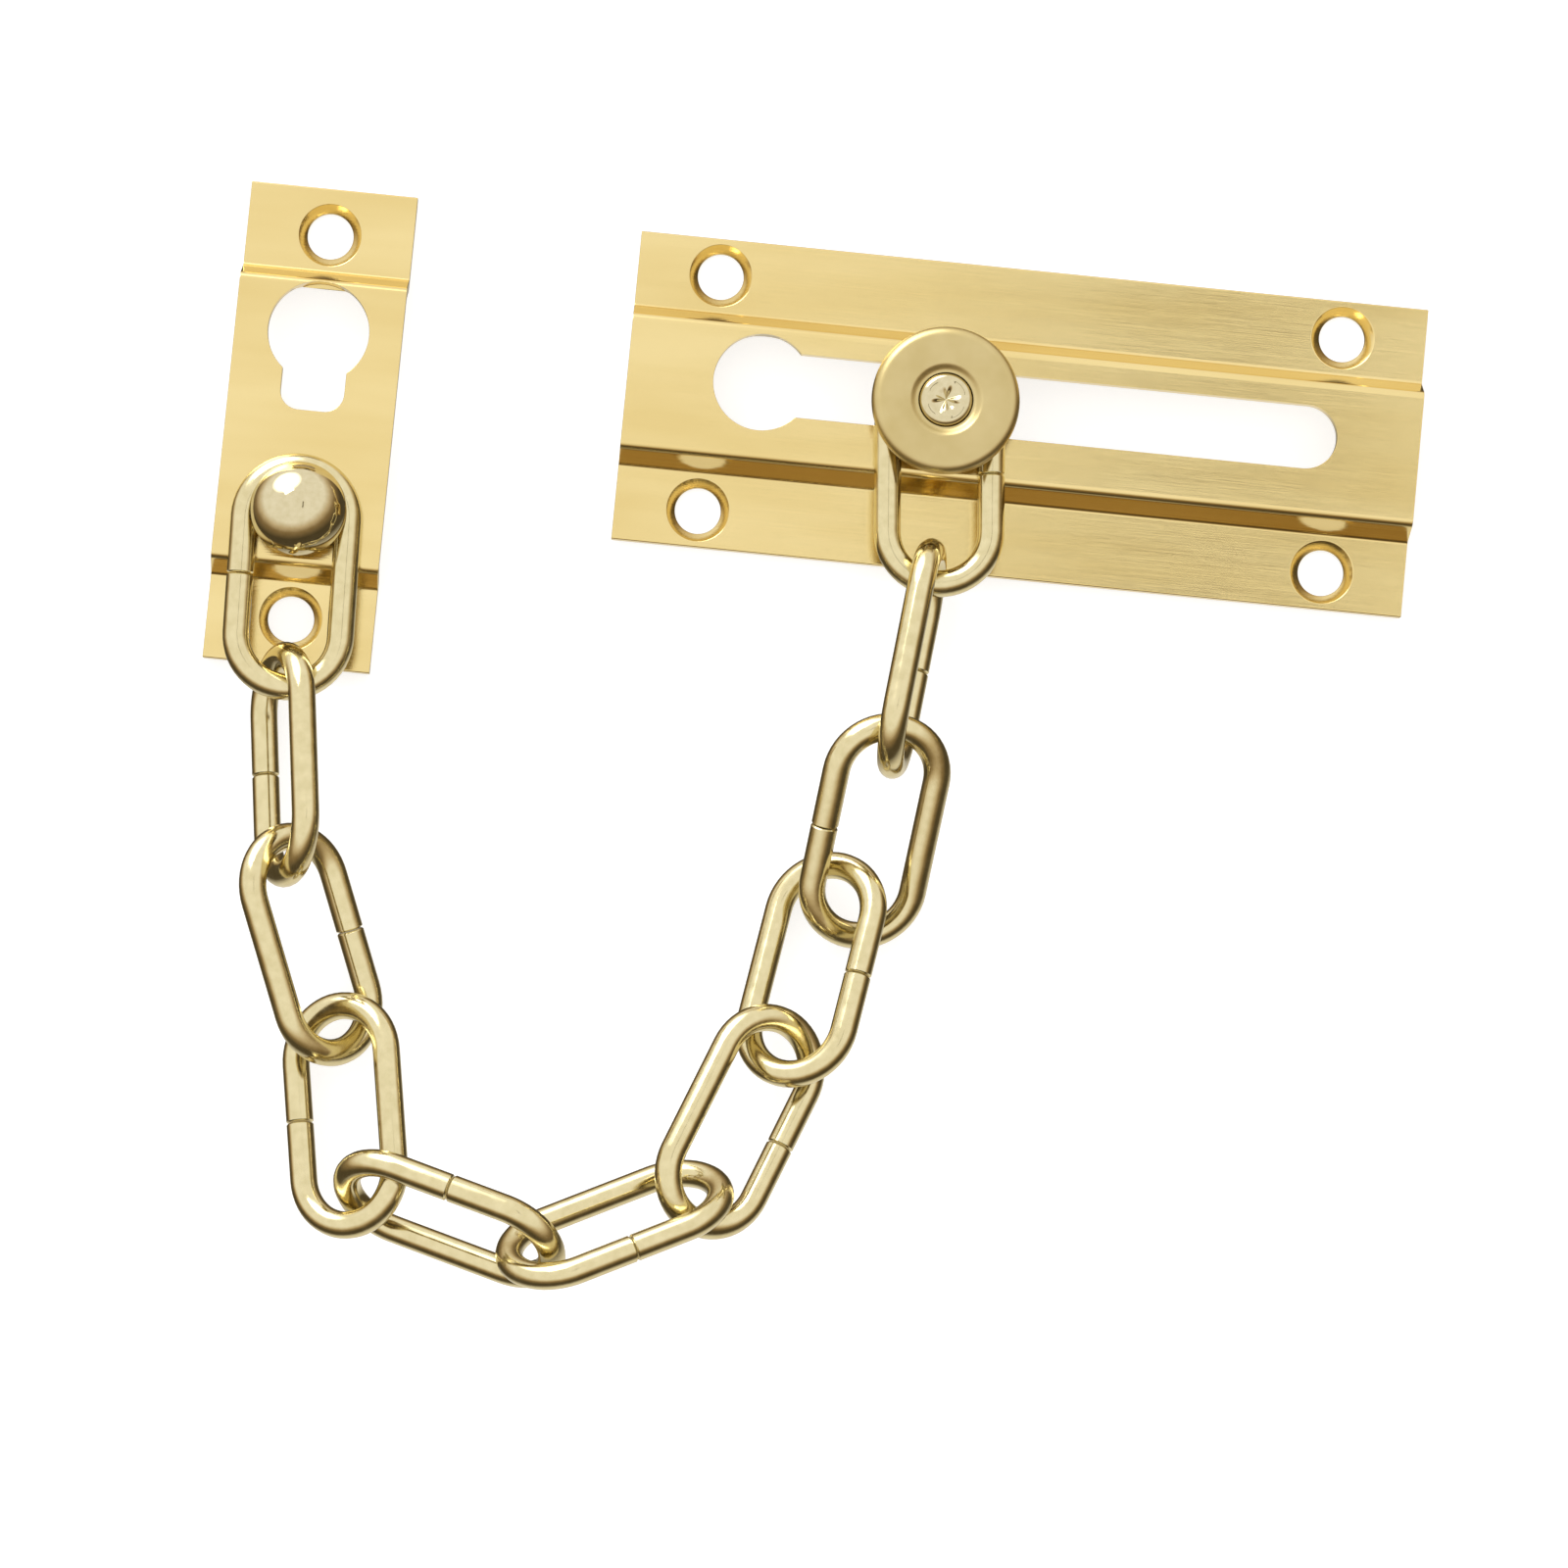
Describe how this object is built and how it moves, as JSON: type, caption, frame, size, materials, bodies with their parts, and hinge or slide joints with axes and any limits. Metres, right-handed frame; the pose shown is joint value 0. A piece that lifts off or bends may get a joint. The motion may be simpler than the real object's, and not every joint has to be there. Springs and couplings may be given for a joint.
{
  "type": "door chain guard",
  "caption": "Surface-mounted door chain guard: a slotted slide plate with a sliding knob, a keeper plate with a keyhole, and a short oval-link chain joining them.",
  "frame": {"origin": "on the slide plate's back face, in the middle of its upper flange", "axes": "+X along the slide plate away from the keeper, +Y towards the plate's upper edge, +Z away from the door face"},
  "size_m": [0.1495, 0.1353, 0.0201],
  "materials": {
    "drawn_brass": "polished, fine lengthwise drawn lines",
    "chain_brass": "bright, paler than the plates",
    "knob_brass": "satin",
    "rivet_brass": "mirror polished"
  },
  "bodies": {
    "plates": {"slide_plate": "drawn_brass", "keeper_plate": "drawn_brass", "anchor_rivet": "rivet_brass"},
    "slider": {"slider_stud": "rivet_brass"},
    "knob": {"knob_disc": "knob_brass"},
    "chain_11": {"link_11": "chain_brass"},
    "chain_10": {"link_10": "chain_brass"},
    "chain_09": {"link_09": "chain_brass"},
    "chain_08": {"link_08": "chain_brass"},
    "chain_07": {"link_07": "chain_brass"},
    "chain_06": {"link_06": "chain_brass"},
    "chain_05": {"link_05": "chain_brass"},
    "chain_04": {"link_04": "chain_brass"},
    "chain_03": {"link_03": "chain_brass"},
    "chain_02": {"link_02": "chain_brass"},
    "chain_01": {"link_01": "chain_brass"}
  },
  "joints": [
    {"name": "slider_travel", "type": "slide", "parent": "plates", "child": "slider", "axis": [1, 0, 0], "range_m": [-0.0225, 0.0456]},
    {"name": "knob_spin", "type": "hinge", "parent": "slider", "child": "knob", "pos_m": [-0.01015, -0.0143, 0.0115], "axis": [0, 0, 1], "continuous": true},
    {"name": "link_11_swing", "type": "hinge", "parent": "slider", "child": "chain_11", "pos_m": [-0.01015, -0.0143, 0.008], "axis": [0, 0, 1], "range_deg": [-10, 10]},
    {"name": "link_10_swing", "type": "hinge", "parent": "chain_11", "child": "chain_10", "pos_m": [-0.00924, -0.035, 0.00802], "axis": [0, 0, 1], "range_deg": [-10, 10]},
    {"name": "link_09_swing", "type": "hinge", "parent": "chain_10", "child": "chain_09", "pos_m": [-0.01249, -0.05797, 0.0124], "axis": [0, 0, 1], "range_deg": [-10, 10]},
    {"name": "link_08_swing", "type": "hinge", "parent": "chain_09", "child": "chain_08", "pos_m": [-0.01641, -0.07712, 0.00321], "axis": [0, 0, 1], "range_deg": [-10, 10]},
    {"name": "link_07_swing", "type": "hinge", "parent": "chain_08", "child": "chain_07", "pos_m": [-0.02202, -0.09653, 0.00794], "axis": [0, 0, 1], "range_deg": [-10, 10]},
    {"name": "link_06_swing", "type": "hinge", "parent": "chain_07", "child": "chain_06", "pos_m": [-0.03041, -0.11649, 0.01001], "axis": [0, 0, 1], "range_deg": [-10, 10]},
    {"name": "link_05_swing", "type": "hinge", "parent": "chain_06", "child": "chain_05", "pos_m": [-0.05079, -0.12578, 0.01423], "axis": [0, 0, 1], "range_deg": [-10, 10]},
    {"name": "link_04_swing", "type": "hinge", "parent": "chain_05", "child": "chain_04", "pos_m": [-0.07396, -0.12076, 0.00906], "axis": [0, 0, 1], "range_deg": [-10, 10]},
    {"name": "link_03_swing", "type": "hinge", "parent": "chain_04", "child": "chain_03", "pos_m": [-0.07748, -0.09931, 0.00519], "axis": [0, 0, 1], "range_deg": [-10, 10]},
    {"name": "link_02_swing", "type": "hinge", "parent": "chain_03", "child": "chain_02", "pos_m": [-0.08635, -0.07888, 0.01051], "axis": [0, 0, 1], "range_deg": [-10, 10]},
    {"name": "link_01_swing", "type": "hinge", "parent": "chain_02", "child": "chain_01", "pos_m": [-0.08896, -0.0559, 0.00742], "axis": [0, 0, 1], "range_deg": [-10, 10]}
  ],
  "couplings": [
    {"joint": "link_11_swing", "follows": "slider_travel", "rad_per_m": -2.6},
    {"joint": "link_10_swing", "follows": "slider_travel", "rad_per_m": -3.1},
    {"joint": "link_09_swing", "follows": "slider_travel", "rad_per_m": -1},
    {"joint": "link_08_swing", "follows": "slider_travel", "rad_per_m": 1.3},
    {"joint": "link_07_swing", "follows": "slider_travel", "rad_per_m": 1.6},
    {"joint": "link_06_swing", "follows": "slider_travel", "rad_per_m": 2.5},
    {"joint": "link_05_swing", "follows": "slider_travel", "rad_per_m": 2.7},
    {"joint": "link_04_swing", "follows": "slider_travel", "rad_per_m": 2.3},
    {"joint": "link_03_swing", "follows": "slider_travel", "rad_per_m": 1.6},
    {"joint": "link_02_swing", "follows": "slider_travel", "rad_per_m": 1.5},
    {"joint": "link_01_swing", "follows": "slider_travel", "rad_per_m": 1.5}
  ]
}
